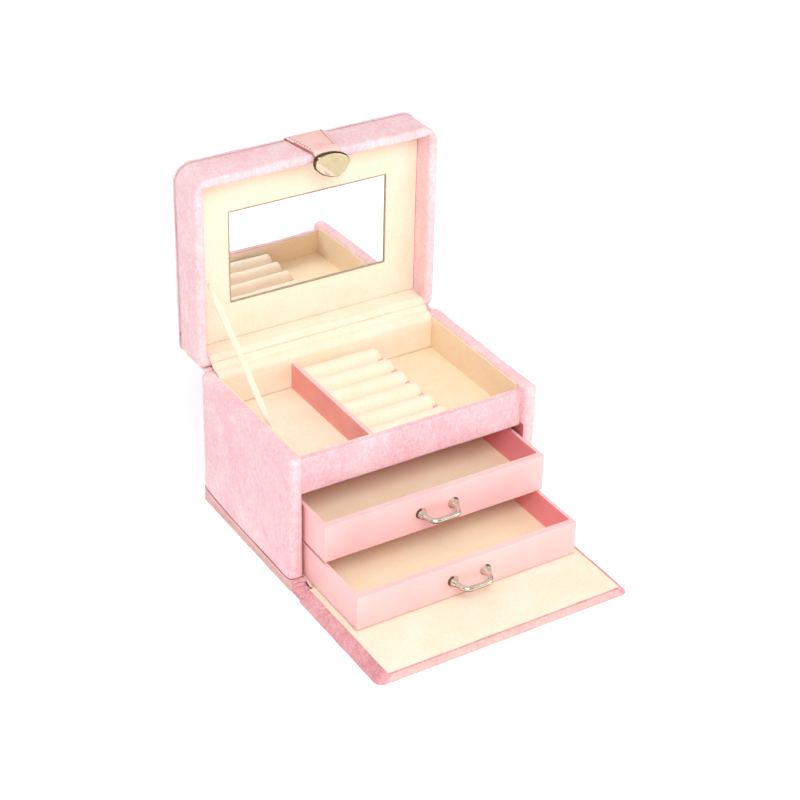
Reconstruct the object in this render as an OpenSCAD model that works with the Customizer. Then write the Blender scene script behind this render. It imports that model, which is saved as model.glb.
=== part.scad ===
// Jewellery chest: a wrapped carcass with a lined top tray, a mirror lid, two drawers and a drop front.
// X runs across the width, Y to the back and Z up. The origin is the middle of the carcass's underside.
// The lid stands open, the front flap lies flat and both drawers are pulled out.

/* [Carcass] */
// Width over the two side panels
body_w = 165; // [150:1:180]
// Depth from the front edges of the side panels to the back
body_d = 111; // [105:1:120]
// Height of the side panels above the table
body_h = 87; // [84:1:96]
// Thickness of the padded side panels
side_t = 8; // [6:0.5:9]
// Thickness of the padded back panel
back_t = 7.5; // [6:0.5:9]
// Radius of the carcass's upright corners
corner_r = 4; // [2:0.5:5]
// Thickness of the wrapped board under the carcass
cover_t = 3; // [2:0.5:4]

/* [Front rail and tray] */
// Distance from the side panels' front edges back to the rail
rail_recess = 5.5; // [4:0.5:6]
// Thickness of the front rail
rail_t = 4; // [3:0.5:5]
// Height of the front rail's lower edge
rail_bottom = 60.5; // [60:0.5:62]
// Height of the front rail's upper edge
rail_top = 83; // [81:0.5:84]
// Height of the tray's lined floor
tray_floor_z = 65; // [64.5:0.5:67]
// Middle of the tall divider, measured across the width
divider_x = -24.5; // [-30:0.5:-20]
// Middle of the low divider behind the ends of the ring rolls
low_divider_x = 28.5; // [24:0.5:34]
// Number of ring rolls
roll_count = 6; // [4:1:7]

/* [Drawers] */
// How far the upper drawer stands out of its closed place
upper_pull_out = 33; // [0:1:75]
// How far the lower drawer stands out of its closed place
lower_pull_out = 68; // [0:1:75]
// Distance from the side panels' front edges to a closed drawer's face
drawer_recess = 11; // [10:0.5:13]
// Depth of a drawer from its face to its back
drawer_d = 90; // [80:1:91]

/* [Lid] */
// Width of the lid
lid_w = 162; // [156:1:165]
// Length of the lid from its hinge to its front edge
lid_l = 121; // [118:0.5:124]
// Thickness of the lid from its rim to its outer face
lid_t = 26.5; // [22:0.5:28]
// Thickness of the lid's walls
lid_wall = 6; // [5:0.5:7]
// Depth of the lid's lined recess
lid_recess = 14; // [12:0.5:15]
// Radius of the lid's front corners
lid_corner_r = 11; // [6:0.5:14]
// Width of the mirror's window
mirror_w = 106; // [90:1:115]
// Height of the mirror's window
mirror_h = 59; // [50:1:70]

/* [Strap and clasp] */
// Width of the closing strap
strap_w = 26.5; // [22:0.5:30]
// Middle of the strap, measured across the width
strap_x = 3.5; // [-5:0.5:5]
// Length of the strap's hanging end
tongue_l = 16; // [13:0.5:20]
// Width of the clasp
clasp_w = 24; // [20:0.5:26]

/* [Flap] */
// Length of the drop front from its hinge edge to its free edge
flap_l = 86.5; // [84:0.5:87]
// Thickness of the drop front with its lining
flap_t = 6.4; // [6:0.1:6.6]

/* [Hidden] */
$fn = 48;

// Colours
velvet = "#efb6cf";
cream = "#fbeed3";
rose = "#e8969c";
blush = "#f6cfd0";
tan_velvet = "#ecc9a0";
nickel = "#c9c6c2";

// Running gap between pieces that slide past each other, and hairline gap between still ones
run_gap = 0.4;
hair = 0.05;

// Carcass
front_y = -body_d / 2;
back_y = body_d / 2;
inner_x = body_w / 2 - side_t;
back_face_y = back_y - back_t;
base_top = 6.6;
rail_y = front_y + rail_recess;
tray_front_y = rail_y + rail_t;

// Tray
lining_t = 1;
tray_board_t = 1.7;
tray_board_z = tray_floor_z - lining_t - tray_board_t;
tray_x = inner_x - lining_t;
tray_y0 = tray_front_y + lining_t;
tray_y1 = back_face_y - lining_t;
divider_t = 3;
divider_top = tray_floor_z + 17;
low_divider_top = tray_floor_z + 11.5;
roll_pitch = (tray_y1 - tray_y0) / roll_count;
roll_r = roll_pitch / 2 - 0.1;
roll_axis_z = tray_floor_z + 7.2;
roll_x0 = divider_x + divider_t / 2 + hair;
roll_x1 = low_divider_x - divider_t / 2 - hair;

// Drawers
drawer_x = inner_x - 1.1;
drawer_wall = 2.4;
drawer_front_t = 4;
drawer_bottom_t = 2.4;
drawer_lining_t = 0.8;
shelf_t = 1.4;
lower_z0 = base_top + run_gap;
lower_z1 = 28.8;
shelf_z = lower_z1 + run_gap;
upper_z0 = shelf_z + shelf_t + run_gap;
upper_z1 = 54.8;
upper_y = front_y + drawer_recess - upper_pull_out;
lower_y = front_y + drawer_recess - lower_pull_out;

// Drawer pulls
pull_feet = 22.5;
pull_bar = 19.5;
pull_reach = 10.5;
pull_r = 1.3;
knuckle_r = 1.55;
foot_r = 2.9;
foot_neck_r = 1.7;
foot_h = 2.2;
screw_r = 1.2;
screw_hole_r = 1.25;
screw_head_r = 2.4;
screw_head_t = 0.9;

// Lid, standing open with its rim plane upright over the hinge line
hinge_y = back_y + 1.5;
hinge_z = body_h + 1;
outer_board_t = 3;
hinge_corner_r = 4;
panel_t = 2;
mirror_t = 2;
mirror_lap = 4;
mirror_v = 60.5;

// Strap and clasp
strap_t = 1.4;
anchor_l = 24;
tongue_gap = 0.6;
tongue_y = hinge_y - tongue_gap - strap_t;
tongue_top = hinge_z + lid_l + 0.6;
clasp_t = 3.2;
clasp_x = strap_x + 1.5;
clasp_z = tongue_top - 9;
magnet_r = 5;
magnet_t = 1.6;
plate_t = 0.5;

// Flap, lying flat in front of the carcass
flap_gap = 10.5;
flap_y = front_y - flap_gap;
flap_outer_x = body_w / 2 + 1;
flap_inner_x = body_w / 2 - 5;
flap_outer_t = 3.6;
flap_lining_t = 0.6;
keeper_r = 7;
keeper_t = 1;
keeper_y = flap_y - 74;

// Cloths and ribbon
cloth_t = 0.8;
ribbon_w = 5;
ribbon_t = 0.4;
ribbon_from = [front_y + 40.5, 84.5];
ribbon_to = [hinge_y - 1.2, hinge_z + 55];

// A box from its lowest corner to its highest one
module block(lo, hi) {
    translate(lo)
        cube(hi - lo);
}

// A flat outline with its own radius on the two near corners and on the two far ones
module rounded_outline(w, d, near_r, far_r) {
    translate([-w / 2, near_r])
        square([w, d - near_r - far_r]);
    translate([-w / 2 + near_r, 0])
        square([w - 2 * near_r, near_r]);
    translate([-w / 2 + far_r, d - far_r])
        square([w - 2 * far_r, far_r]);
    for (side = [-1, 1]) {
        translate([side * (w / 2 - near_r), near_r])
            circle(near_r);
        translate([side * (w / 2 - far_r), d - far_r])
            circle(far_r);
    }
}

// The carcass's plan, from one height to another
module carcass_plan(z0, z1) {
    translate([0, front_y, z0])
        linear_extrude(z1 - z0)
            rounded_outline(body_w, body_d, 1.5, corner_r);
}

module base_cover() {
    color(velvet)
        carcass_plan(0, cover_t);
}

module base_board() {
    color(blush)
        block([-inner_x, front_y + 0.5, cover_t], [inner_x, back_face_y, base_top]);
}

// One padded side panel; side is -1 for the left and 1 for the right
module side_panel(side) {
    color(velvet)
        intersection() {
            carcass_plan(cover_t, body_h);
            translate([side * (inner_x + body_w) / 2, 0, body_h / 2])
                cube([body_w - inner_x, 2 * body_d, 2 * body_h], center = true);
        }
}

module left_side_panel() {
    side_panel(-1);
}

module right_side_panel() {
    side_panel(1);
}

module back_panel() {
    color(velvet)
        block([-inner_x, back_face_y, cover_t], [inner_x, back_y, body_h - 0.5]);
}

module front_rail() {
    color(velvet)
        block([-inner_x, rail_y, rail_bottom], [inner_x, tray_front_y, rail_top]);
}

module drawer_shelf() {
    color(rose)
        block([-inner_x, front_y + 9, shelf_z], [inner_x, back_face_y, shelf_z + shelf_t]);
}

module tray_floor() {
    color(rose)
        block([-inner_x, tray_front_y, tray_board_z],
              [inner_x, back_face_y, tray_board_z + tray_board_t]);
}

module tray_floor_lining() {
    color(cream)
        block([-inner_x, tray_front_y, tray_floor_z - lining_t],
              [inner_x, back_face_y, tray_floor_z]);
}

module tray_front_lining() {
    color(cream)
        block([-inner_x, tray_front_y, tray_floor_z], [inner_x, tray_y0, rail_top - 0.4]);
}

module tray_back_lining() {
    color(cream)
        block([-inner_x, tray_y1, tray_floor_z], [inner_x, back_face_y, body_h - 0.9]);
}

// The lining of one end of the tray
module end_lining(side) {
    color(cream)
        translate([side * (inner_x - lining_t / 2), (tray_y0 + tray_y1) / 2,
                   (tray_floor_z + body_h - 1) / 2])
            cube([lining_t, tray_y1 - tray_y0, body_h - 1 - tray_floor_z], center = true);
}

module tray_left_lining() {
    end_lining(-1);
}

module tray_right_lining() {
    end_lining(1);
}

// A board across the tray, standing on its floor
module divider(x, top) {
    block([x - divider_t / 2, tray_y0, tray_floor_z], [x + divider_t / 2, tray_y1, top]);
}

module tray_divider() {
    color(rose)
        divider(divider_x, divider_top);
}

module low_divider() {
    color(rose)
        divider(low_divider_x, low_divider_top);
}

// One ring roll: a foam sausage flattened where it is glued to the floor, counted from the front
module ring_roll(index) {
    color(cream)
        intersection() {
            translate([roll_x0, tray_y0 + (index - 0.5) * roll_pitch, roll_axis_z])
                rotate([0, 90, 0])
                    cylinder(h = roll_x1 - roll_x0, r = roll_r);
            block([roll_x0, tray_y0, tray_floor_z], [roll_x1, tray_y1, body_h]);
        }
}

module ring_roll_1() { ring_roll(1); }
module ring_roll_2() { ring_roll(2); }
module ring_roll_3() { ring_roll(3); }
module ring_roll_4() { ring_roll(4); }
module ring_roll_5() { ring_roll(5); }
module ring_roll_6() { ring_roll(6); }

// The outer cloth of the lid's hinge: down the back panel, and out under the lid's hinge wall
module lid_hinge_cloth() {
    color(velvet) {
        block([-inner_x, back_y, body_h - 22], [inner_x, back_y + cloth_t, hinge_z - 0.1]);
        block([-inner_x, back_y, hinge_z - 0.1 - cloth_t],
              [inner_x, hinge_y + lid_t - 4, hinge_z - 0.1]);
    }
}

// The lining that runs from the tray's back wall over the hinge to the lid's rim
module lid_hinge_lining() {
    color(cream)
        block([-tray_x, tray_y1, body_h - 0.5], [tray_x, back_y, body_h + 0.1]);
}

module flap_hinge_cloth() {
    color(velvet)
        block([-inner_x - 4, flap_y + 0.3, 0.2], [inner_x + 4, front_y, 0.2 + cloth_t]);
}

// A taut ribbon from the left tray wall up to the lid's left wall
module lid_stay_ribbon() {
    run = ribbon_to - ribbon_from;
    color(cream)
        translate([-tray_x + 0.3, ribbon_from[0], ribbon_from[1]])
            rotate([atan2(run[1], run[0]), 0, 0])
                translate([0, 0, -ribbon_w / 2])
                    cube([ribbon_t, norm(run), ribbon_w]);
}

// Stands a lid piece upright: local X across, Y from the hinge to the free edge, Z from rim to back
module lid_place() {
    translate([0, hinge_y, hinge_z])
        rotate([90, 0, 0])
            mirror([0, 0, 1])
                children();
}

// The lid's outline from one depth behind its rim to another
module lid_plan(w0, w1) {
    translate([0, 0, w0])
        linear_extrude(w1 - w0)
            rounded_outline(lid_w, lid_l, hinge_corner_r, lid_corner_r);
}

module lid_outer_board() {
    color(velvet)
        lid_place()
            lid_plan(lid_t - outer_board_t, lid_t);
}

// The part of the lid's walls inside a box of the lid's own frame
module lid_walls(lo, hi) {
    color(velvet)
        lid_place()
            intersection() {
                lid_plan(0, lid_t - outer_board_t);
                block(lo, hi);
            }
}

module lid_front_wall() {
    lid_walls([-lid_w, lid_l - lid_wall, -1], [lid_w, lid_l + 1, lid_t]);
}

module lid_back_wall() {
    lid_walls([-lid_w, -1, -1], [lid_w, lid_wall, lid_t]);
}

module lid_left_wall() {
    lid_walls([-lid_w, lid_wall, -1], [-lid_w / 2 + lid_wall, lid_l - lid_wall, lid_t]);
}

module lid_right_wall() {
    lid_walls([lid_w / 2 - lid_wall, lid_wall, -1], [lid_w, lid_l - lid_wall, lid_t]);
}

lid_in_x = lid_w / 2 - lid_wall;

module lid_inner_panel() {
    color(cream)
        lid_place()
            difference() {
                block([-lid_in_x, lid_wall, lid_recess],
                      [lid_in_x, lid_l - lid_wall, lid_recess + panel_t]);
                block([-mirror_w / 2, mirror_v - mirror_h / 2, 0],
                      [mirror_w / 2, mirror_v + mirror_h / 2, lid_t]);
            }
}

// A plate behind the mirror's window that laps behind the panel
module behind_window(w0, w1) {
    lid_place()
        block([-mirror_w / 2 - mirror_lap, mirror_v - mirror_h / 2 - mirror_lap, w0],
              [mirror_w / 2 + mirror_lap, mirror_v + mirror_h / 2 + mirror_lap, w1]);
}

module mirror_glass() {
    color("#dfe6ea")
        behind_window(lid_recess + panel_t, lid_recess + panel_t + mirror_t);
}

module mirror_backing() {
    color("#d8c9b0")
        behind_window(lid_recess + panel_t + mirror_t, lid_t - outer_board_t);
}

// The strap's fixed length: glued to the lid's outer face and over its front wall
module strap_anchor() {
    color(blush)
        lid_place() {
            block([strap_x - strap_w / 2, lid_l - anchor_l, lid_t],
                  [strap_x + strap_w / 2, lid_l + strap_t, lid_t + strap_t]);
            block([strap_x - strap_w / 2, lid_l, 0.4],
                  [strap_x + strap_w / 2, lid_l + strap_t, lid_t]);
        }
}

// Turns an outline in the XZ plane into a plate whose back is at the given Y
module hanging_plate(y_back, t) {
    translate([clasp_x, y_back, clasp_z])
        rotate([90, 0, 0])
            linear_extrude(t)
                children();
}

// The egg-shaped outline of the clasp, grown by a margin
module clasp_outline(margin) {
    hull() {
        translate([-clasp_w / 2 + 8, 0])
            circle(8 + margin, $fn = 32);
        translate([clasp_w / 2 - 7, 1])
            circle(7 + margin, $fn = 32);
    }
}

// The strap's hanging end, which tapers in to the clasp's outline
module strap_tongue() {
    color(blush)
        translate([0, tongue_y + strap_t, 0])
            rotate([90, 0, 0])
                linear_extrude(strap_t)
                    hull() {
                        translate([strap_x - strap_w / 2, tongue_top - 5])
                            square([strap_w, 5]);
                        translate([strap_x - strap_w / 2 + 8, tongue_top - tongue_l + 7])
                            circle(7, $fn = 32);
                        translate([strap_x + strap_w / 2 - 8, tongue_top - tongue_l + 7])
                            circle(7, $fn = 32);
                    }
}

module clasp_plate() {
    color(nickel)
        hanging_plate(tongue_y, plate_t)
            clasp_outline(-0.6);
}

module clasp_body() {
    color(nickel)
        difference() {
            hanging_plate(tongue_y - plate_t, clasp_t - plate_t)
                clasp_outline(0);
            hanging_plate(tongue_y - plate_t + 1, magnet_t + 1)
                circle(magnet_r);
        }
}

module clasp_magnet() {
    color("#777777")
        hanging_plate(tongue_y - plate_t, magnet_t)
            circle(magnet_r - 0.05);
}

// The flap's plan over a half width, from one height to another
module flap_plan(half_w, length, z0, z1, r) {
    translate([0, flap_y - length, z0])
        linear_extrude(z1 - z0)
            rounded_outline(2 * half_w, length, r, 1);
}

module flap_outer_board() {
    color(velvet)
        difference() {
            flap_plan(flap_outer_x, flap_l, 0, flap_outer_t, 5);
            translate([strap_x, keeper_y, flap_outer_t - keeper_t - hair])
                cylinder(h = 2, r = keeper_r + hair);
        }
}

module flap_inner_board() {
    color(rose)
        flap_plan(flap_inner_x, flap_l, flap_outer_t, flap_t - flap_lining_t, 2);
}

module flap_lining() {
    color(cream)
        flap_plan(flap_inner_x - 0.3, flap_l - 0.6, flap_t - flap_lining_t, flap_t, 2);
}

module flap_keeper() {
    color("#777777")
        translate([strap_x, keeper_y, flap_outer_t - keeper_t])
            cylinder(h = keeper_t, r = keeper_r);
}

// Drawer boards, each for a drawer whose face is at y and which spans z0 to z1
module drawer_front(y, z0, z1) {
    color(blush)
        difference() {
            block([-drawer_x, y, z0], [drawer_x, y + drawer_front_t, z1]);
            for (side = [-1, 1])
                translate([side * pull_feet / 2, y - 1, (z0 + z1) / 2])
                    rotate([-90, 0, 0])
                        cylinder(h = drawer_front_t + 2, r = screw_hole_r);
        }
}

module drawer_side(side, y, z0, z1) {
    color(blush)
        translate([side * (drawer_x - drawer_wall / 2), y + (drawer_front_t + drawer_d) / 2,
                   (z0 + z1) / 2])
            cube([drawer_wall, drawer_d - drawer_front_t, z1 - z0], center = true);
}

module drawer_back(y, z0, z1) {
    color(blush)
        block([-drawer_x + drawer_wall, y + drawer_d - drawer_wall, z0],
              [drawer_x - drawer_wall, y + drawer_d, z1]);
}

module drawer_plate(y, z, t) {
    block([-drawer_x + drawer_wall, y + drawer_front_t, z],
          [drawer_x - drawer_wall, y + drawer_d - drawer_wall, z + t]);
}

module drawer_bottom(y, z0) {
    color(blush)
        drawer_plate(y, z0, drawer_bottom_t);
}

module drawer_lining(y, z0) {
    color(tan_velvet)
        drawer_plate(y, z0 + drawer_bottom_t, drawer_lining_t);
}

// A rod between two points of a pull's own plane
module pull_rod(from, to) {
    run = to - from;
    translate([from[0], from[1], 0])
        rotate([0, 90, atan2(run[1], run[0])])
            cylinder(h = norm(run), r = pull_r);
}

// A bow pull: two flared feet, two legs that lean together, a knuckle on each leg and a straight bar
module drawer_pull(y, z0, z1) {
    color(nickel)
        translate([0, y, (z0 + z1) / 2]) {
            for (side = [-1, 1]) {
                translate([side * pull_feet / 2, 0, 0])
                    rotate([90, 0, 0])
                        cylinder(h = foot_h, r1 = foot_r, r2 = foot_neck_r);
                pull_rod([side * pull_feet / 2, -1], [side * pull_bar / 2, -pull_reach]);
                translate([side * pull_bar / 2, -pull_reach, 0])
                    sphere(knuckle_r);
            }
            pull_rod([-pull_bar / 2, -pull_reach], [pull_bar / 2, -pull_reach]);
        }
}

// The two screws that hold a pull, with their heads inside the drawer
module pull_screws(y, z0, z1) {
    color(nickel)
        for (side = [-1, 1])
            translate([side * pull_feet / 2, y + drawer_front_t, (z0 + z1) / 2])
                rotate([90, 0, 0]) {
                    cylinder(h = drawer_front_t + 1.5, r = screw_r);
                    translate([0, 0, -screw_head_t])
                        cylinder(h = screw_head_t, r = screw_head_r);
                }
}

module upper_drawer_front() { drawer_front(upper_y, upper_z0, upper_z1); }
module upper_drawer_left() { drawer_side(-1, upper_y, upper_z0, upper_z1); }
module upper_drawer_right() { drawer_side(1, upper_y, upper_z0, upper_z1); }
module upper_drawer_back() { drawer_back(upper_y, upper_z0, upper_z1); }
module upper_drawer_bottom() { drawer_bottom(upper_y, upper_z0); }
module upper_drawer_lining() { drawer_lining(upper_y, upper_z0); }
module upper_drawer_pull() { drawer_pull(upper_y, upper_z0, upper_z1); }
module upper_pull_screws() { pull_screws(upper_y, upper_z0, upper_z1); }
module lower_drawer_front() { drawer_front(lower_y, lower_z0, lower_z1); }
module lower_drawer_left() { drawer_side(-1, lower_y, lower_z0, lower_z1); }
module lower_drawer_right() { drawer_side(1, lower_y, lower_z0, lower_z1); }
module lower_drawer_back() { drawer_back(lower_y, lower_z0, lower_z1); }
module lower_drawer_bottom() { drawer_bottom(lower_y, lower_z0); }
module lower_drawer_lining() { drawer_lining(lower_y, lower_z0); }
module lower_drawer_pull() { drawer_pull(lower_y, lower_z0, lower_z1); }
module lower_pull_screws() { pull_screws(lower_y, lower_z0, lower_z1); }

base_cover();
base_board();
left_side_panel();
right_side_panel();
back_panel();
front_rail();
drawer_shelf();
tray_floor();
tray_floor_lining();
tray_front_lining();
tray_back_lining();
tray_left_lining();
tray_right_lining();
tray_divider();
low_divider();
ring_roll_1();
ring_roll_2();
ring_roll_3();
ring_roll_4();
ring_roll_5();
ring_roll_6();
lid_hinge_cloth();
lid_hinge_lining();
flap_hinge_cloth();
lid_stay_ribbon();
lid_outer_board();
lid_front_wall();
lid_back_wall();
lid_left_wall();
lid_right_wall();
lid_inner_panel();
mirror_glass();
mirror_backing();
strap_anchor();
strap_tongue();
clasp_body();
clasp_plate();
clasp_magnet();
flap_outer_board();
flap_inner_board();
flap_lining();
flap_keeper();
upper_drawer_front();
upper_drawer_left();
upper_drawer_right();
upper_drawer_back();
upper_drawer_bottom();
upper_drawer_lining();
upper_drawer_pull();
upper_pull_screws();
lower_drawer_front();
lower_drawer_left();
lower_drawer_right();
lower_drawer_back();
lower_drawer_bottom();
lower_drawer_lining();
lower_drawer_pull();
lower_pull_screws();
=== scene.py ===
import math

import bpy
from mathutils import Matrix, Vector, noise


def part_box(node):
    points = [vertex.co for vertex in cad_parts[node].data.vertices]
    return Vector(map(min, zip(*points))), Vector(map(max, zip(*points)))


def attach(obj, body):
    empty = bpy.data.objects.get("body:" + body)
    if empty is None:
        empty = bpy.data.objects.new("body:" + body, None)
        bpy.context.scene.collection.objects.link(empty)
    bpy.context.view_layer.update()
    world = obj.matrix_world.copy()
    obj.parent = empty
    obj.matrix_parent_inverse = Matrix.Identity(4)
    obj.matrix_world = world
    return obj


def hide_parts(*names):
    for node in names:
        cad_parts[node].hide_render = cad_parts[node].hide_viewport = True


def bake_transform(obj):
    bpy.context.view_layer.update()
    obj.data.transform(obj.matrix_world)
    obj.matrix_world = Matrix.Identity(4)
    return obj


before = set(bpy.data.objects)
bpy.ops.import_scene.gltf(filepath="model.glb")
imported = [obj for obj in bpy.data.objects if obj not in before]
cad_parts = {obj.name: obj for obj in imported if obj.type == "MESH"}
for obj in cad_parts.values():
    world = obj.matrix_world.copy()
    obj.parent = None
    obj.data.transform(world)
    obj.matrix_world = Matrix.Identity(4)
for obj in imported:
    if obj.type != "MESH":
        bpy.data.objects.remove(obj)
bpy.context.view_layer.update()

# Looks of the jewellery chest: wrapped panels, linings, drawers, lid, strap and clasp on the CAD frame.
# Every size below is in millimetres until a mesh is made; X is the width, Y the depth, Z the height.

MM = 0.001


# --- The frame's own places ---

def cad(node):
    """The lowest and highest corners of a CAD node, in millimetres."""
    low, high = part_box(node)
    return Vector(low) / MM, Vector(high) / MM


LEFT_LO, LEFT_HI = cad("left_side_panel")
RIGHT_LO, RIGHT_HI = cad("right_side_panel")
BACK_LO, BACK_HI = cad("back_panel")
COVER_LO, COVER_HI = cad("base_cover")
LID_LO, LID_HI = cad("lid_outer_board")
PANEL_LO, PANEL_HI = cad("lid_inner_panel")
WALL_LO, WALL_HI = cad("lid_back_wall")
FLAP_LO, FLAP_HI = cad("flap_outer_board")
FLAP_TOP_LO, FLAP_TOP_HI = cad("flap_lining")

HALF_W = RIGHT_HI.x
INNER_X = RIGHT_LO.x
FRONT_Y = LEFT_LO.y
BACK_Y = BACK_HI.y
BACK_FACE_Y = BACK_LO.y
BODY_TOP = LEFT_HI.z
RAIL_Z = cad("front_rail")[0].z
TRAY_Z = cad("tray_floor_lining")[1].z
TRAY_BACK_Y = cad("tray_back_lining")[0].y
TRAY_X = cad("tray_right_lining")[0].x
HINGE_Y = WALL_LO.y
HINGE_Z = WALL_LO.z
LID_X = LID_HI.x
LID_L = LID_HI.z - HINGE_Z
LID_WALL = WALL_HI.z - WALL_LO.z
LID_IN_X = LID_X - LID_WALL
LID_IN_L = LID_L - LID_WALL
RECESS = PANEL_LO.y - HINGE_Y
FRAME_DEEP = LID_HI.y - HINGE_Y - 1.35


# --- Mesh building ---

# Rows of faces across a rounded edge
EDGE_STEPS = 5


def clamp(value):
    return min(1.0, max(0.0, value))


def hill(value, centre, width):
    """A smooth bump: 1 at the centre, falling to nothing about twice the width away."""
    return math.exp(-((value - centre) / width) ** 2)


def soft(x, y, z):
    """Smooth noise at a point, between about -1 and 1."""
    return noise.noise(Vector((x, y, z)))


def make(name, points, faces, materials):
    """A smooth mesh object from points in millimetres."""
    mesh = bpy.data.meshes.new(name)
    mesh.from_pydata([Vector(p) * MM for p in points], [], faces)
    for item in materials:
        mesh.materials.append(item)
    mesh.polygons.foreach_set("use_smooth", [True] * len(mesh.polygons))
    mesh.update()
    piece = bpy.data.objects.new(name, mesh)
    bpy.context.scene.collection.objects.link(piece)
    return piece


def outward(piece):
    """Turns every face of a closed mesh outwards."""
    bpy.context.view_layer.objects.active = piece
    bpy.ops.object.select_all(action="DESELECT")
    piece.select_set(True)
    bpy.ops.object.mode_set(mode="EDIT")
    bpy.ops.mesh.select_all(action="SELECT")
    bpy.ops.mesh.normals_make_consistent(inside=False)
    bpy.ops.object.mode_set(mode="OBJECT")
    return piece


def paint(piece, slot_of):
    """Gives each face the material slot that slot_of(centre in millimetres, normal) names."""
    if slot_of:
        for face in piece.data.polygons:
            face.material_index = slot_of(face.center / MM, face.normal)
    return piece


def ring_faces(rings, sides, start=0, closed=False, capped=True):
    """Faces between rings of points; closed joins the last ring to the first, capped covers the ends."""
    faces = []
    for i in range(rings if closed else rings - 1):
        here, there = start + i * sides, start + (i + 1) % rings * sides
        for j in range(sides):
            k = (j + 1) % sides
            faces.append([here + j, here + k, there + k, there + j])
    if capped and not closed:
        last = start + (rings - 1) * sides
        faces.append([start + j for j in range(sides)])
        faces.append([last + j for j in reversed(range(sides))])
    return faces


def layer_faces(rows, width):
    """Faces of a thin closed body made of two layers of points, each rows by width."""
    layer = rows * width
    faces = []
    for i in range(rows - 1):
        for j in range(width - 1):
            a = i * width + j
            faces.append([a, a + 1, a + width + 1, a + width])
            faces.append([layer + a, layer + a + width, layer + a + width + 1, layer + a + 1])
        for a in (i * width, i * width + width - 1):
            faces.append([a, a + width, layer + a + width, layer + a])
    for j in range(width - 1):
        for a in (j, layer - width + j):
            faces.append([a, a + 1, layer + a + 1, layer + a])
    return faces


def skin(name, rings, materials, closed=False):
    """A closed mesh through rings of points, covered at both ends or, if closed, joined end to end."""
    points = [p for ring in rings for p in ring]
    faces = ring_faces(len(rings), len(rings[0]), closed=closed)
    return outward(make(name, points, faces, materials))


def runs(path):
    """The distance along a path of points at each of them."""
    run = [0.0]
    for before, after in zip(path, path[1:]):
        run.append(run[-1] + math.dist(before, after))
    return run


def heading(path, i):
    """The direction of a path at its point i."""
    return (Vector(path[min(len(path) - 1, i + 1)]) - Vector(path[max(0, i - 1)])).normalized()


def ruffle(piece, amount, size):
    """Moves each point along its normal by soft noise, so that wrapped cloth isn't dead flat."""
    spots = []
    for vertex in piece.data.vertices:
        place = vertex.co / MM / size
        spots.append(vertex.co + vertex.normal * (amount * MM * noise.noise(place)))
    for vertex, spot in zip(piece.data.vertices, spots):
        vertex.co = spot
    piece.data.update()


def stops(half, edge, step):
    """Symmetrical grid stops from -half to half, close together within the rounded edge."""
    outer = [half - edge + edge * i / EDGE_STEPS for i in range(EDGE_STEPS + 1)]
    inside = half - edge
    count = max(1, round(2 * inside / step))
    middle = [-inside + 2 * inside * i / count for i in range(1, count)]
    return [-v for v in reversed(outer)] + middle + outer


def ease(a, b):
    """Maps the corner square of a grid onto a quarter disc."""
    return a * math.sqrt(1 - b * b / 2), b * math.sqrt(1 - a * a / 2)


def slab_point(a, b, c, half, plan_r, roll):
    """Rounds one point of a box: plan corners by plan_r (near, far), edges by roll (low, high)."""
    ha, hb, hc = half
    radius = plan_r[0] if b < 0 else plan_r[1]
    qa, qb = abs(a) - (ha - radius), abs(b) - (hb - radius)
    if radius > 0 and qa > 0 and qb > 0:
        ea, eb = ease(qa / radius, qb / radius)
        qa, qb = ea * radius, eb * radius
        a = math.copysign(ha - radius + qa, a)
        b = math.copysign(hb - radius + qb, b)
    if qa > 0 and qb > 0:
        reach = math.hypot(qa, qb)
        inset = radius - reach
        out_a, out_b = (qa / reach, qb / reach) if reach > 1e-9 else (1, 0)
    elif ha - abs(a) < hb - abs(b):
        inset, out_a, out_b = ha - abs(a), 1, 0
    else:
        inset, out_a, out_b = hb - abs(b), 0, 1
    edge = roll[0] if c < 0 else roll[1]
    up = abs(c) - (hc - edge)
    if edge > 0 and up > 0 and inset < edge:
        side, rise = ease(1 - inset / edge, up / edge)
        shift = inset - (edge - side * edge)
        a += math.copysign(out_a * shift, a)
        b += math.copysign(out_b * shift, b)
        c = math.copysign(hc - edge + rise * edge, c)
    return a, b, c


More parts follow.
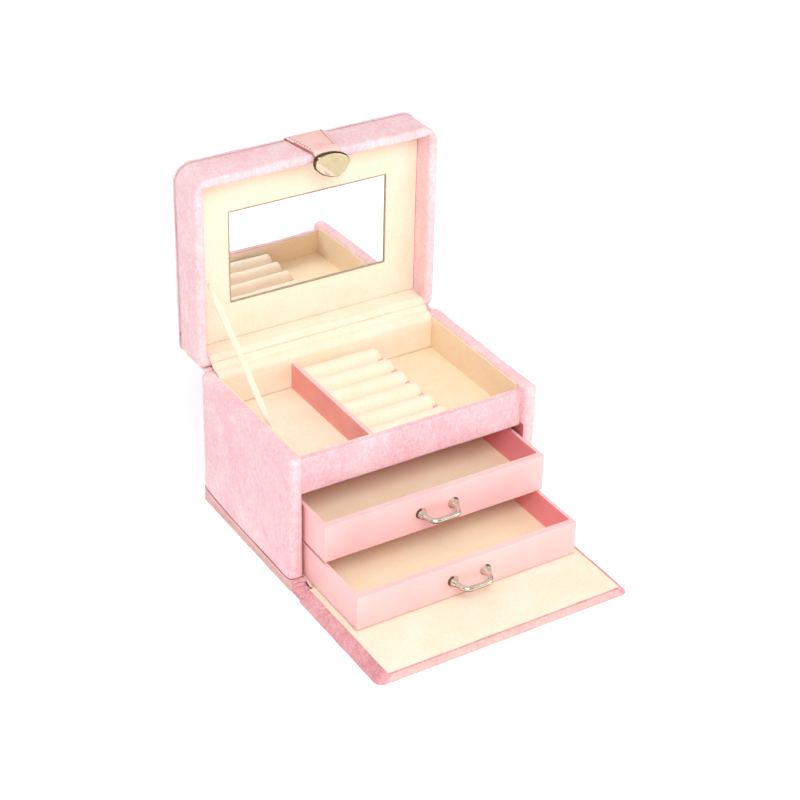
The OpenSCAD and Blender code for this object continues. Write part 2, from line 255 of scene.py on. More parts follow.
def slab(name, low, high, axis, materials, plan_r=(0, 0), roll=(0.6, 0.6), step=6, puff=(0, 0),
         slot_of=None):
    """A board between two corners, rounded and slightly crowned. axis is the thickness's axis (0, 1
    or 2); the plan's near side is the low end of the last other axis; roll and puff are for the (low,
    high) faces."""
    others = [i for i in range(3) if i != axis]
    middle = (low + high) / 2
    size = (high - low) / 2
    half = (size[others[0]], size[others[1]], size[axis])
    edge_a = max(plan_r[0], plan_r[1], roll[0], roll[1])
    edge_c = min(half[2] * 0.98, max(roll))
    grid = [stops(half[0], min(edge_a, half[0] * 0.9), step),
            stops(half[1], min(edge_a, half[1] * 0.9), step),
            stops(half[2], edge_c, max(step, 1))]
    roll = tuple(min(r, half[2] * 0.98) for r in roll)
    last = [len(g) - 1 for g in grid]
    seen, points, faces = {}, [], []

    def corner(i, j, k):
        if (i, j, k) not in seen:
            flat_a, flat_b, flat_c = grid[0][i], grid[1][j], grid[2][k]
            a, b, c = slab_point(flat_a, flat_b, flat_c, half, plan_r, roll)
            lift = (1 - (flat_a / half[0]) ** 4) * (1 - (flat_b / half[1]) ** 4)
            if k == 0:
                c -= puff[0] * lift
            if k == last[2]:
                c += puff[1] * lift
            spot = Vector((0, 0, 0))
            spot[others[0]], spot[others[1]], spot[axis] = a, b, c
            seen[i, j, k] = len(points)
            points.append(spot + middle)
        return seen[i, j, k]

    def add_face(*corners):
        faces.append([corner(*c) for c in corners])

    for i in range(last[0]):
        for j in range(last[1]):
            for k in (0, last[2]):
                add_face((i, j, k), (i, j + 1, k), (i + 1, j + 1, k), (i + 1, j, k))
    for k in range(last[2]):
        for i in range(last[0]):
            for j in (0, last[1]):
                add_face((i, j, k), (i + 1, j, k), (i + 1, j, k + 1), (i, j, k + 1))
        for j in range(last[1]):
            for i in (0, last[0]):
                add_face((i, j, k), (i, j, k + 1), (i, j + 1, k + 1), (i, j + 1, k))
    return paint(outward(make(name, points, faces, materials)), slot_of)


def board(name, node, axis, materials, **how):
    """A slab over a CAD node's own box, which it replaces."""
    low, high = cad(node)
    piece = slab(name, low, high, axis, materials, **how)
    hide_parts(node)
    return piece


def wall_profile(width, low, high, roll, inset, rows):
    """The upright section of a wall from its outer face to its inner face, rounded along its top."""
    roll = min(roll, width / 2 - inset - 0.01)
    top = high - inset
    points = [(inset, low + (top - roll - low) * i / rows) for i in range(rows + 1)]
    quarter = [math.pi / 2 * i / EDGE_STEPS for i in range(EDGE_STEPS + 1)]
    for angle in quarter[1:]:
        points.append((inset + roll * (1 - math.cos(angle)), top - roll + roll * math.sin(angle)))
    for angle in quarter:
        points.append((width - inset - roll * (1 - math.sin(angle)), top - roll + roll * math.cos(angle)))
    points += [(width - inset, low + (top - roll - low) * i / rows) for i in range(rows - 1, -1, -1)]
    return points


def wall(name, stations, low, high, roll, place, materials, closed, end_roll=0.0, rows=10,
         slot_of=None):
    """A padded wall lofted through stations of (outer, inner) plan points, rounded along its top and,
    if open, at its ends; place turns (plan x, plan y, height) into the chest's coordinates."""
    run = runs([outer for outer, inner in stations])
    rings = []
    for i, (outer, inner) in enumerate(stations):
        outer, inner = Vector(outer), Vector(inner)
        width = (inner - outer).length
        inset = 0.0
        reach = min(run[i], run[-1] - run[i])
        if not closed and reach < end_roll:
            inset = end_roll - math.sqrt(max(0.0, end_roll ** 2 - (end_roll - reach) ** 2))
        section = wall_profile(width, low, high, roll, min(inset, width / 2 - 0.3), rows)
        plans = [outer + (inner - outer) * (across / width) for across, up in section]
        rings.append([place(plan.x, plan.y, up) for plan, (across, up) in zip(plans, section)])
    return paint(skin(name, rings, materials, closed), slot_of)


def arc(centre, radius, start, end, count):
    """Plan points along an arc, in degrees."""
    steps = [math.radians(start + (end - start) * i / count) for i in range(count + 1)]
    return [(centre[0] + radius * math.cos(t), centre[1] + radius * math.sin(t)) for t in steps]


def line(start, end, step):
    """Plan points from start to just before end."""
    count = max(1, round((Vector(end) - Vector(start)).length / step))
    return [tuple(Vector(start).lerp(Vector(end), i / count)) for i in range(count)]


def mirrored(half, middle):
    """Stations round both sides, from the left half's and the one in the middle."""
    return half + [middle] + [((-o[0], o[1]), (-i[0], i[1])) for o, i in reversed(half)]


def strip(name, path, across, thick, materials, wave):
    """A cloth strip of even thickness: path is a list of (y, z), across a list of x.
    wave(x, run) gives how far the cloth lifts off its path."""
    count = len(path)
    run = runs(path)
    points = []
    for lift in (0, thick):
        for i in range(count):
            along = heading(path, i)
            up = Vector((-along.y, along.x))
            for x in across:
                rise = lift + wave(x, run[i])
                points.append((x, path[i][0] + up.x * rise, path[i][1] + up.y * rise))
    return outward(make(name, points, layer_faces(count, len(across)), materials))


def spread(low, high, step):
    """Even stops from low to high."""
    count = max(1, round((high - low) / step))
    return [low + (high - low) * i / count for i in range(count + 1)]


def corner_path(points, radius, step):
    """A (y, z) or (x, y) path through corner points, each corner eased by radius."""
    ease_steps = 6
    path = []
    for i, point in enumerate(points):
        here = Vector(point)
        if i in (0, len(points) - 1):
            target = [here]
        else:
            first = here + (Vector(points[i - 1]) - here).normalized() * radius
            last = here + (Vector(points[i + 1]) - here).normalized() * radius
            target = []
            for k in range(ease_steps + 1):
                t = k / ease_steps
                target.append(first * (1 - t) ** 2 + here * 2 * t * (1 - t) + last * t ** 2)
        if path:
            count = max(1, round((target[0] - Vector(path[-1])).length / step))
            for k in range(1, count):
                path.append(tuple(Vector(path[-1]).lerp(target[0], 1 / (count - k + 1))))
        path += [tuple(t) for t in target]
    return path


# --- Materials ---

def srgb(code):
    """A hex colour as linear RGBA."""
    values = [int(code[i:i + 2], 16) / 255 for i in (0, 2, 4)]
    return [v / 12.92 if v <= 0.04045 else ((v + 0.055) / 1.055) ** 2.4 for v in values] + [1.0]


def fill_ramp(node, colours):
    """Gives a colour ramp node its (position, hex) stops."""
    while len(node.color_ramp.elements) < len(colours):
        node.color_ramp.elements.new(0.5)
    for element, (position, code) in zip(node.color_ramp.elements, colours):
        element.position = position
        element.color = srgb(code)


class Shader:
    """A small helper that adds nodes to one procedural material."""

    def __init__(self, name, **sockets):
        self.material = bpy.data.materials.new(name)
        self.material.use_nodes = True
        self.nodes = self.material.node_tree.nodes
        self.links = self.material.node_tree.links
        self.bsdf = self.put(self.nodes["Principled BSDF"], **sockets)
        self.place = self.nodes.new("ShaderNodeTexCoord").outputs["Object"]

    def put(self, node, **sockets):
        """Links outputs to a node's sockets, or sets them; an underscore stands for a space."""
        for key, value in sockets.items():
            socket = node.inputs[key.replace("_", " ")]
            if isinstance(value, bpy.types.NodeSocket):
                self.links.new(value, socket)
            else:
                socket.default_value = value
        return node

    def add_node(self, kind, **sockets):
        return self.put(self.nodes.new("ShaderNode" + kind), **sockets)

    def mapped(self, scale, turn):
        angles = [math.radians(t) for t in turn]
        return self.add_node("Mapping", Scale=scale, Rotation=angles, Vector=self.place).outputs["Vector"]

    def noise(self, scale, detail=3.0, roughness=0.55, distortion=0.0, vector=None):
        return self.add_node("TexNoise", Scale=scale, Detail=detail, Roughness=roughness,
                             Distortion=distortion, Vector=vector or self.place).outputs["Fac"]

    def cells(self, scale):
        """Soft round cells, as a distance from each one's middle."""
        node = self.nodes.new("ShaderNodeTexVoronoi")
        node.feature = "SMOOTH_F1"
        return self.put(node, Scale=scale, Vector=self.place).outputs["Distance"]

    def ramp(self, factor, *colours):
        """colours are (position, hex)."""
        node = self.nodes.new("ShaderNodeValToRGB")
        fill_ramp(node, colours)
        return self.put(node, Fac=factor).outputs["Color"]

    def mix(self, first, second, factor, kind="MIX"):
        node = self.nodes.new("ShaderNodeMix")
        node.data_type = "RGBA"
        node.blend_type = kind
        return self.put(node, Factor=factor, A=first, B=second).outputs["Result"]

    def add(self, first, second, weight):
        """first + second * weight, for heights."""
        node = self.nodes.new("ShaderNodeMath")
        node.operation = "MULTIPLY_ADD"
        self.links.new(second, node.inputs[0])
        node.inputs[1].default_value = weight
        self.links.new(first, node.inputs[2])
        return node.outputs["Value"]

    def bump(self, height, strength, distance):
        node = self.add_node("Bump", Strength=strength, Distance=distance, Height=height)
        self.put(self.bsdf, Normal=node.outputs["Normal"])

    def shine(self, factor, low, high):
        """Lets the roughness vary from low to high."""
        node = self.add_node("MapRange", To_Min=low, To_Max=high, Value=factor)
        self.put(self.bsdf, Roughness=node.outputs["Result"])

    def colour(self, output):
        self.put(self.bsdf, Base_Color=output)

    def grained(self, tone, nap, edge, dark):
        """Colours the surface by tone, darkened where the nap is low."""
        grain = self.ramp(nap, (edge, dark), (1 - edge, "ffffff"))
        self.colour(self.mix(tone, grain, 1.0, "MULTIPLY"))


def suede(name, deep, middle, pale, turn):
    """Crushed pink suede: soft clouds, short brushed strokes, pale creases and a fine nap."""
    made = Shader(name, Roughness=0.88, Sheen_Weight=0.18, Sheen_Roughness=0.5,
                  Sheen_Tint=srgb("fff0f2"))
    clouds = made.noise(34, 3, 0.55, 0.6)
    strokes = made.noise(480, 4, 0.70, 1.1, made.mapped((1.0, 1.0, 0.55), turn))
    nap = made.noise(1500, 2, 0.6)
    base = made.ramp(clouds, (0.30, deep), (0.50, middle), (0.70, pale))
    brushed = made.ramp(strokes, (0.31, deep), (0.49, middle), (0.66, pale))
    both = made.mix(base, brushed, 0.6)
    tilted = (turn[0] + 35, turn[1], turn[2])
    creases = made.noise(70, 3, 0.6, 1.4, made.mapped((1.0, 1.0, 0.45), tilted))
    lines = made.ramp(creases, (0.455, "000000"), (0.5, "8c8c8c"), (0.545, "000000"))
    both = made.mix(both, made.ramp(clouds, (0.0, pale), (1.0, pale)), lines)
    made.grained(both, nap, 0.28, "e9e9e9")
    made.bump(made.add(nap, strokes, 1.2), 0.35, 0.00025)
    return made.material


def velour(name, deep, pale, scale=55):
    """A short-pile lining: faint pressed patches, fine brushed fibres and a nap."""
    made = Shader(name, Roughness=0.9, Sheen_Weight=0.15, Sheen_Roughness=0.5)
    patches = made.noise(scale, 3, 0.5, 0.15)
    fibres = made.noise(700, 3, 0.65, 0.5, made.mapped((1.0, 0.4, 1.0), (0, 0, 20)))
    nap = made.noise(2200, 2, 0.6)
    pressed = made.ramp(patches, (0.32, deep), (0.66, pale))
    brushed = made.ramp(fibres, (0.36, deep), (0.60, pale))
    both = made.mix(pressed, brushed, 0.5)
    made.grained(both, nap, 0.25, "f0f0f0")
    made.bump(made.add(nap, fibres, 0.9), 0.3, 0.0002)
    return made.material


def paper(name, deep, pale, roughness=0.5):
    """Smooth coated paper over board, with a faint fibre grain."""
    made = Shader(name, Roughness=roughness)
    patches = made.noise(34, 3, 0.5, 0.4)
    fibres = made.noise(1300, 3, 0.65, 0.6)
    tone = made.ramp(patches, (0.3, deep), (0.7, pale))
    made.grained(tone, fibres, 0.2, "f4f4f4")
    made.shine(fibres, roughness - 0.06, roughness + 0.08)
    made.bump(fibres, 0.12, 0.0001)
    return made.material


def leather(name, deep, pale):
    """Leatherette with a pebbled grain."""
    made = Shader(name, Roughness=0.55)
    grain = made.cells(1500)
    patches = made.noise(120, 3, 0.6, 0.5)
    made.colour(made.ramp(patches, (0.3, deep), (0.7, pale)))
    made.shine(grain, 0.45, 0.62)
    made.bump(made.add(grain, patches, 0.5), 0.3, 0.00018)
    return made.material


def metal(name, base, dull, roughness):
    """Plated metal with faint handling haze."""
    made = Shader(name, Metallic=1.0, Roughness=roughness)
    haze = made.noise(260, 4, 0.6, 0.4)
    made.colour(made.ramp(haze, (0.3, dull), (0.7, base)))
    made.shine(haze, roughness, roughness + 0.10)
    made.bump(made.noise(1500, 2), 0.04, 0.00005)
    return made.material


def mirror_finish():
    made = Shader("mirror_silver", Metallic=1.0, Roughness=0.02)
    haze = made.noise(45, 3, 0.5, 0.3)
    made.colour(made.ramp(haze, (0.3, "f2f4f3"), (0.7, "fbfcfb")))
    made.shine(haze, 0.008, 0.03)
    return made.material


PINK = suede("pink_suede", "eeafb8", "f6c7cc", "fde6e7", (35, 10, 0))
PINK_LID = suede("pink_suede_lid", "eeb0b8", "f6cacf", "fce6e7", (35, 10, 0))
# Painted shade: a darker copy of the suede for the front rail.
PINK_RAIL_SHADED = suede("pink_suede_rail_painted_shade", "e7a8b1", "efbdc4", "f8dee1", (10, 60, 0))
# Painted light: a copy of the lid's suede, coloured for the light on the frame's inner faces.
PINK_INNER = suede("pink_suede_inner_painted_light", "f1b6bd", "f8cbd0", "fde2e4", (20, 10, 0))
PINK_FLAT = suede("pink_suede_pressed", "d69f9a", "dfb2ac", "e9c8c1", (5, 0, 0))
# Painted shade: a darker copy of the suede for the skirt at the base.
PINK_SKIRT = suede("pink_suede_skirt_painted_shade", "dea2a2", "e7b2b0", "f0c9c5", (5, 0, 0))
# Painted shade: a deep pink copy of the suede for the flap's sloping sides and its hinge cloth.
PINK_SHADED_BAND = suede("pink_suede_painted_shade", "ca7784", "dc9299", "eebdc0", (50, 0, 20))
# Painted shade: a dark rose laid on the carcass's faces round the drawers.
CAVITY = paper("cavity_painted_shade", "b75f63", "c47176")
# Painted shade: a dark line for the mirror window's edges and the flap lining's sides.
EDGE = velour("edge_painted_shade", "9c8a70", "b19d84", 300)
CREAM = velour("cream_velour", "f6dfc2", "fbe9d5")
WARM = velour("warm_velour", "f5dab3", "f9e4c6")
TAN = velour("tan_velour", "ffe9c4", "fff3d6")
ROSE = paper("rose_paper", "ec9693", "f5a6a1")
BLUSH = paper("blush_paper", "f5bebd", "f9cac7", 0.4)
INNER_ROSE = paper("drawer_rose_paper", "ff9099", "ffa1aa", 0.45)
STRAP = leather("strap_leatherette", "ecbbb2", "f4cfc6")
# A darker leatherette on the strap's side faces.
STRAP_EDGE = leather("strap_edge_dark", "ad6a68", "bd7b76")
THREAD = velour("stitch_thread", "a8665e", "c2867c", 300)
PIPING = velour("seam_thread", "87484a", "a36260", 300)
NICKEL = metal("polished_nickel", "e3d8ca", "cbbdac", 0.05)
# Painted shade: a dark, duller nickel for the pulls' undersides and flange grooves.
NICKEL_PAINTED_SHADE = metal("nickel_painted_shade", "7a6a5f", "69594e", 0.22)
# Painted highlight: a pale nickel for the clasp's turned-down facet.
FACET_NICKEL = metal("facet_nickel_painted_highlight", "fdf6ea", "f3e9d8", 0.42)
SHELL = metal("shell_nickel", "cdbd9b", "bfae8a", 0.14)
# Painted shade: a dark nickel for the clasp's bevelled sides.
RIM = metal("nickel_rim_painted_shade", "6e5d49", "5a4a38", 0.1)
ZINC = metal("zinc_steel", "b8b6b2", "9c9a96", 0.35)
RIBBON = velour("satin_ribbon", "f1e1c4", "f7ebd2", 200)
MIRROR = mirror_finish()


def dress(node, material):
    """Gives a CAD node that no piece replaces its material."""
    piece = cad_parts[node]
    piece.data.materials.clear()
    piece.data.materials.append(material)


# --- Carcass ---

# The back corners' plan radius, and the steps round them
CORNER_R = 5.0
CORNER_STEPS = 8


def carcass_stations():
    """(outer, inner) plan points round the left, back and right panels."""
    inner_r = 1.0
    front_ends = [0.0, 0.15, 0.4, 0.8, 1.3, 1.9, 2.6, 4.4]
    outer = [(-HALF_W, FRONT_Y + e) for e in front_ends]
    outer += line((-HALF_W, FRONT_Y), (-HALF_W, BACK_Y - CORNER_R), 5)[1:]
    inner = [(-INNER_X, min(y, BACK_FACE_Y - inner_r)) for x, y in outer]
    outer += arc((-HALF_W + CORNER_R, BACK_Y - CORNER_R), CORNER_R, 180, 90, CORNER_STEPS)
    inner += arc((-INNER_X + inner_r, BACK_FACE_Y - inner_r), inner_r, 180, 90, CORNER_STEPS)
    half_back = line((-HALF_W + CORNER_R, BACK_Y), (0, BACK_Y), 6)[1:]
    outer += half_back
    for i in range(len(half_back)):
        along = (i + 1) / (len(half_back) + 1)
        inner.append((-INNER_X + inner_r + (INNER_X - inner_r) * along, BACK_FACE_Y))
    return mirrored(list(zip(outer, inner)), ((0, BACK_Y), (0, BACK_FACE_Y)))


def skirt_rise(y):
    """Height of the base cloth's seam, which turns up at the back corner and round the front one."""
    level, slope, back_turn, front_turn, front_reach = 5.7, 0.9, 2.6, 2.4, 10
    t = clamp((y - FRONT_Y) / (BACK_Y - FRONT_Y))
    corner = clamp(1 - (y - FRONT_Y) / front_reach)
    return level + slope * t + back_turn * t ** 8 + front_turn * corner ** 2


def skirt_stations(proud, tuck):
    """Plan points from proud of the panels' outer faces to tuck inside them, round the front ends too."""
    left = [((-INNER_X - tuck, FRONT_Y - proud), (-INNER_X - tuck, FRONT_Y + tuck)),
            ((-HALF_W + 1.2, FRONT_Y - proud), (-HALF_W + 1.2, FRONT_Y + tuck)),
            ((-HALF_W - proud + 0.3, FRONT_Y - proud + 0.3), (-HALF_W + tuck, FRONT_Y + tuck)),
            ((-HALF_W - proud, FRONT_Y + 1.2), (-HALF_W + tuck, FRONT_Y + 1.2))]
    for x, y in line((-HALF_W - proud, FRONT_Y + 4), (-HALF_W - proud, BACK_Y - CORNER_R), 4):
        left.append(((x, y), (-HALF_W + tuck, y)))
    centre = (-HALF_W + CORNER_R, BACK_Y - CORNER_R)
    left += list(zip(arc(centre, CORNER_R + proud, 180, 90, CORNER_STEPS),
                     arc(centre, CORNER_R - tuck, 180, 90, CORNER_STEPS)))
    for x, y in line((-HALF_W + CORNER_R, BACK_Y + proud), (0, BACK_Y + proud), 6)[1:]:
        left.append(((x, y), (x, BACK_Y - tuck)))
    return mirrored(left, ((0, BACK_Y + proud), (0, BACK_Y - tuck)))


def build_skirt():
    """The strip of cloth that turns up from the base round the panels' feet, and its edge's seam."""
    low, high, tuck, edge = 0.3, 10.0, 0.5, 0.35
    for name, proud, more, material in (("base_skirt", 0.5, 0.0, PINK_SKIRT),
                                        ("base_seam", 0.3, 0.42, PIPING)):

        def to_seam(x, y, z, more=more):
            """Brings the strip's level top to the seam's height at y, and more for the seam itself."""
            return x, y, low + (z - low) * (skirt_rise(y) + more - low) / (high - low)

        skirt = wall(name, skirt_stations(proud, tuck), low, high, edge, to_seam, [material], False,
                     rows=5)
        if not more:
            ruffle(skirt, 0.1, 9)
        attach(skirt, "root")


def build_carcass():

    def painted_shade_inside(centre, normal):
        """Dark rose painted as shade on the faces round the drawers, suede elsewhere."""
        inside = abs(centre.x) < INNER_X + 0.3 and centre.y < BACK_FACE_Y + 0.3
        return 1 if inside and centre.z < RAIL_Z else 0

    def low_back(x, y, z):
        """The back panel's rim lies lower than the sides'."""
        drop, rim = 0.9, 2.5
        return x, y, z - (drop if abs(x) < INNER_X and z > BODY_TOP - rim else 0)

    rim_roll, front_roll = 1.9, 3.4
    wrap = wall("carcass_wrap", carcass_stations(), COVER_HI.z + 0.1, BODY_TOP + 0.3, rim_roll,
                low_back, [PINK, CAVITY], False, end_roll=front_roll, rows=18, slot_of=painted_shade_inside)
    ruffle(wrap, 0.3, 26)
    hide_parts("left_side_panel", "right_side_panel", "back_panel")
    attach(wrap, "root")
    cover = slab("base_cover_wrap", COVER_LO + Vector((-0.5, 0, 0)), COVER_HI + Vector((0.5, 0.5, 0)),
                 2, [PINK_FLAT], plan_r=(1, 5.5), roll=(0.7, 0.7))
    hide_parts("base_cover")
    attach(cover, "root")
    build_skirt()
    rail = board("front_rail_wrap", "front_rail", 1, [PINK_RAIL_SHADED], roll=(1.3, 1.3), step=4,
                 puff=(0.35, 0))
    ruffle(rail, 0.25, 18)
    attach(rail, "root")
    for name, node, material in (("base_board_card", "base_board", CREAM),
                                 ("shelf_card", "drawer_shelf", ROSE),
                                 ("tray_floor_card", "tray_floor", ROSE)):
        piece = board(name, node, 2, [material], roll=(0.4, 0.4), step=12)
        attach(piece, "root")


# --- Top tray ---

def build_tray():
    split_x = cad("low_divider")[1].x - 0.5

    def compartment(centre, normal):
        """Cream cloth left of the low divider, a warmer one right of it."""
        return 1 if centre.x > split_x else 0

    def painted_light_top(centre, normal):
        """Painted highlight: paler paper on the top of a divider that stands left of the middle."""
        return 1 if normal.z > 0.7 and centre.x < 0 else 0

    for name, axis, puff in (("tray_floor_lining", 2, (0, 0.25)), ("tray_front_lining", 1, (0, 0.1)),
                             ("tray_left_lining", 0, (0, 0.15)), ("tray_right_lining", 0, (0.15, 0))):
        piece = board(name + "_cloth", name, axis, [CREAM, WARM], roll=(0.35, 0.35), step=4,
                      puff=puff, slot_of=compartment)
        ruffle(piece, 0.12, 12)
        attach(piece, "root")
    for name, node, cut in (("tall_divider", "tray_divider", 0), ("low_divider_card", "low_divider", 0.5)):
        low, high = cad(node)
        piece = slab(name, low, high - Vector((0, 0, cut)), 0, [ROSE, BLUSH], step=8, slot_of=painted_light_top)
        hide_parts(node)
        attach(piece, "root")


def roll_section(count):
    """A foam sausage's section, one wide and one tall, as (y, z) from one foot over the top to the other."""
    angles = [math.pi * i / count for i in range(count + 1)]
    return [(-math.cos(t) / 2, math.sin(t) ** 0.62) for t in angles]


def build_ring_roll(index):
    """One ring roll: a cloth-covered foam sausage whose soft right-hand end laps over the low divider."""
    node = f"ring_roll_{index}"
    low, high = cad(node)
    short_of, higher, wider = 0.4, 0.4, 0.1
    high.x = cad("low_divider")[1].x - short_of
    middle_y = (low.y + high.y) / 2
    height = high.z - low.z + higher
    width = high.y - low.y + wider
    soft_end, squeeze, dip, sides = 1.6, 0.09, 0.35, 22
    ends = [0.0, 0.12, 0.4, 0.9, soft_end]
    across = [low.x + e for e in ends] + spread(low.x + soft_end, high.x - soft_end, 2.5)[1:-1]
    across += [high.x - e for e in reversed(ends)]
    rings = []
    for x in across:
        reach = min(x - low.x, high.x - x)
        shrink = 1.0
        if reach < soft_end:
            shrink = 1 - squeeze + squeeze * math.sqrt(1 - (1 - reach / soft_end) ** 2)
        wide = width * (0.5 + 0.5 * shrink)
        tall = height * shrink
        sag = dip * soft(x / 14, index * 3.1, 0)
        rings.append([(x, middle_y + y * wide, low.z + z * (tall + sag * z))
                      for y, z in roll_section(sides)])
    piece = skin(f"ring_roll_{index}_foam", rings, [CREAM])
    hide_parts(node)
    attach(piece, "root")


# --- Drawers ---

def build_drawer(which):
    body = which + "_drawer"
    low, high = cad(body + "_bottom")
    middle = (low + high) / 2

    def inner_paper(centre, normal):
        """Rose paper on the faces that look into the drawer, blush paper on the rest."""
        inward = Vector((middle.x - centre.x, middle.y - centre.y))
        flat = Vector((normal.x, normal.y))
        return 1 if abs(normal.z) < 0.5 and flat.dot(inward) > 0 and flat.length > 0.6 else 0

    for part, axis in (("front", 1), ("left", 0), ("right", 0), ("back", 1)):
        part_lo, part_hi = cad(f"{body}_{part}")
        if axis == 0:
            part_lo.y += 0.22
        piece = slab(f"{body}_{part}_card", part_lo, part_hi, axis, [BLUSH, INNER_ROSE],
                     roll=(0.55, 0.55), step=8, slot_of=inner_paper)
        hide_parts(f"{body}_{part}")
        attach(piece, body)
    piece = board(f"{body}_bottom_card", f"{body}_bottom", 2, [BLUSH], roll=(0.3, 0.3), step=12)
    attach(piece, body)
    piece = board(f"{body}_floor_cloth", f"{body}_lining", 2, [TAN], roll=(0.3, 0.3), step=4,
                  puff=(0, 0.35))
    ruffle(piece, 0.15, 14)
    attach(piece, body)
    build_pull(which)


def tube(points, radii, sides):
    """Rings of points round a smooth path; radii gives the radius at each of its points."""
    rings = []
    up = Vector((0, 0, 1))
    angles = [2 * math.pi * j / sides for j in range(sides)]
    for i, (point, radius) in enumerate(zip(points, radii)):
        side = heading(points, i).cross(up).normalized()
        rings.append([point + (side * math.cos(t) + up * math.sin(t)) * radius for t in angles])
    return rings


def build_pull(which):
    """A bow pull: two flanged bosses, short arms that lean together, and a bar with eased corners."""
    node = which + "_drawer_pull"
    low, high = cad(node)
    face_y = high.y
    middle = (low + high) / 2
    bar, drop, arm = 1.65, 0.8, 3.4
    reach = face_y - low.y - bar
    foot_x = (high.x - low.x) / 2 - 3.2
    bar_x = foot_x - 2.6
    bend_r, step, sides = 3.3, 0.45, 24
    corners = [(-foot_x, 0.0), (-foot_x, -arm), (-bar_x, -reach), (bar_x, -reach), (foot_x, -arm),
               (foot_x, 0.0)]
    # (distance from the drawer's face, radius) of the flange, its groove, the boss and the bar
    profile = [(0.0, 3.55), (0.7, 3.6), (1.0, 3.3), (1.15, 2.75), (1.4, 2.7), (2.0, 2.8), (2.7, 2.6),
               (3.4, 2.05), (4.0, bar)]
    radii, points = [], []
    for x, y in corner_path(corners, bend_r, step):
        depth = -y
        radius = bar
        for (d0, r0), (d1, r1) in zip(profile, profile[1:]):
            if d0 <= depth <= d1:
                radius = r0 + (r1 - r0) * (depth - d0) / (d1 - d0)
        radii.append(radius)
        points.append(Vector((x + middle.x, face_y + y, middle.z - drop * (depth / reach) ** 2)))

    def recess(centre, normal):
        """Painted shade: duller, darker metal on the undersides and in the groove behind each flange."""
        groove = 0.65 < face_y - centre.y < 1.4
        return 1 if normal.z < -0.36 or groove else 0

    piece = skin(which + "_pull", tube(points, radii, sides), [NICKEL, NICKEL_PAINTED_SHADE])
    paint(piece, recess)
    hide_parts(node)
    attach(piece, which + "_drawer")
    dress(which + "_pull_screws", ZINC)


# --- Lid ---

def in_lid(x, v, w):
    """Turns lid coordinates (across, from hinge to free edge, from rim to back) into the chest's."""
    return x, HINGE_Y + w, HINGE_Z + v


def ring_stations(outer_half, outer_lo, outer_hi, outer_r, inner_half, inner_lo, inner_hi, inner_r):
    """(outer, inner) plan points round a rounded frame; outer_r is (near, far)."""
    corner_steps = 9
    rounds = []
    for side, far, start in ((1, 0, -90), (1, 1, 0), (-1, 1, 90), (-1, 0, 180)):
        out_v, in_v, up = (outer_hi, inner_hi, 1) if far else (outer_lo, inner_lo, -1)
        radius = outer_r[far]
        out_c = (side * (outer_half - radius), out_v - up * radius)
        in_c = (side * (inner_half - inner_r), in_v - up * inner_r)
        rounds.append(list(zip(arc(out_c, radius, start, start + 90, corner_steps),
                               arc(in_c, inner_r, start, start + 90, corner_steps))))
    stations = []
    for i, bend in enumerate(rounds):
        stations += bend
        here, there = bend[-1], rounds[(i + 1) % 4][0]
        count = max(2, round((Vector(there[0]) - Vector(here[0])).length / 5))
        for k in range(1, count):
            stations.append(tuple(tuple(Vector(here[n]).lerp(Vector(there[n]), k / count)) for n in (0, 1)))
    return stations


def lid_point(x, v, up):
    """A point of the lid's frame; up is measured from the frame's back edge towards the rim. The hinge
    wall's inner face leans towards the hinge at the rim, and the rim's cloth is gathered round the two
    free corners."""
    w = FRAME_DEEP - up
    inner = abs(x) < LID_IN_X + 2.2
    lean, lean_w = 1.5, 12
    if v < LID_WALL + 0.6 and inner and w < lean_w:
        v -= lean * (1 - w / lean_w) * clamp((v - 1.5) / 3)
    gather_r, gather_w, gather_high, gather_rays = 15, 5, 0.42, 15
    gather = 0.0
    for side in (-1, 1):
        off_x, off_v = x - side * LID_IN_X, v - LID_IN_L
        reach = math.hypot(off_x, off_v)
        if reach < gather_r and w < gather_w:
            ray = math.sin(math.atan2(off_v, off_x * side) * gather_rays)
            gather += gather_high * ray * (1 - reach / gather_r) * (1 - w / gather_w)
    return in_lid(x, v, w - gather)


def build_lid():
    corners, inner_r, rim_roll = (4, 11), 1.5, 2.3
    stations = ring_stations(LID_X, 0, LID_L, corners, LID_IN_X, LID_WALL, LID_IN_L, inner_r)

    def inner_faces(centre, normal):
        """Painted light on the frame's inner faces: a paler copy of the suede."""
        across = abs(centre.x) < LID_IN_X + 0.5
        along = LID_WALL - 0.5 < centre.z - HINGE_Z < LID_IN_L + 0.5
        return 1 if across and along and abs(normal.y) < 0.6 else 0

    walls = wall("lid_frame_wrap", stations, 0, FRAME_DEEP, rim_roll, lid_point,
                 [PINK_LID, PINK_INNER], True, rows=9, slot_of=inner_faces)
    ruffle(walls, 0.25, 20)
    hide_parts("lid_front_wall", "lid_back_wall", "lid_left_wall", "lid_right_wall")
    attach(walls, "lid")
    outer_y = HINGE_Y + FRAME_DEEP
    outer = slab("lid_outer_wrap", Vector((LID_LO.x - 0.35, outer_y + 0.42, LID_LO.z - 0.2)),
                 LID_HI + Vector((0.35, 0.2, 0.35)), 1, [PINK_LID], plan_r=(4.3, 11.3),
                 roll=(0.45, 0.95), step=5, puff=(0, 0.9))
    ruffle(outer, 0.2, 24)
    seam = slab("lid_seam", Vector((LID_LO.x + 0.12, outer_y - 0.6, LID_LO.z + 0.3)),
                Vector((LID_HI.x - 0.12, outer_y + 0.8, LID_HI.z - 0.12)), 1, [PIPING],
                plan_r=(4.0, 10.9), roll=(0.2, 0.2))
    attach(seam, "lid")
    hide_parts("lid_outer_board")
    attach(outer, "lid")
    build_lid_panel()


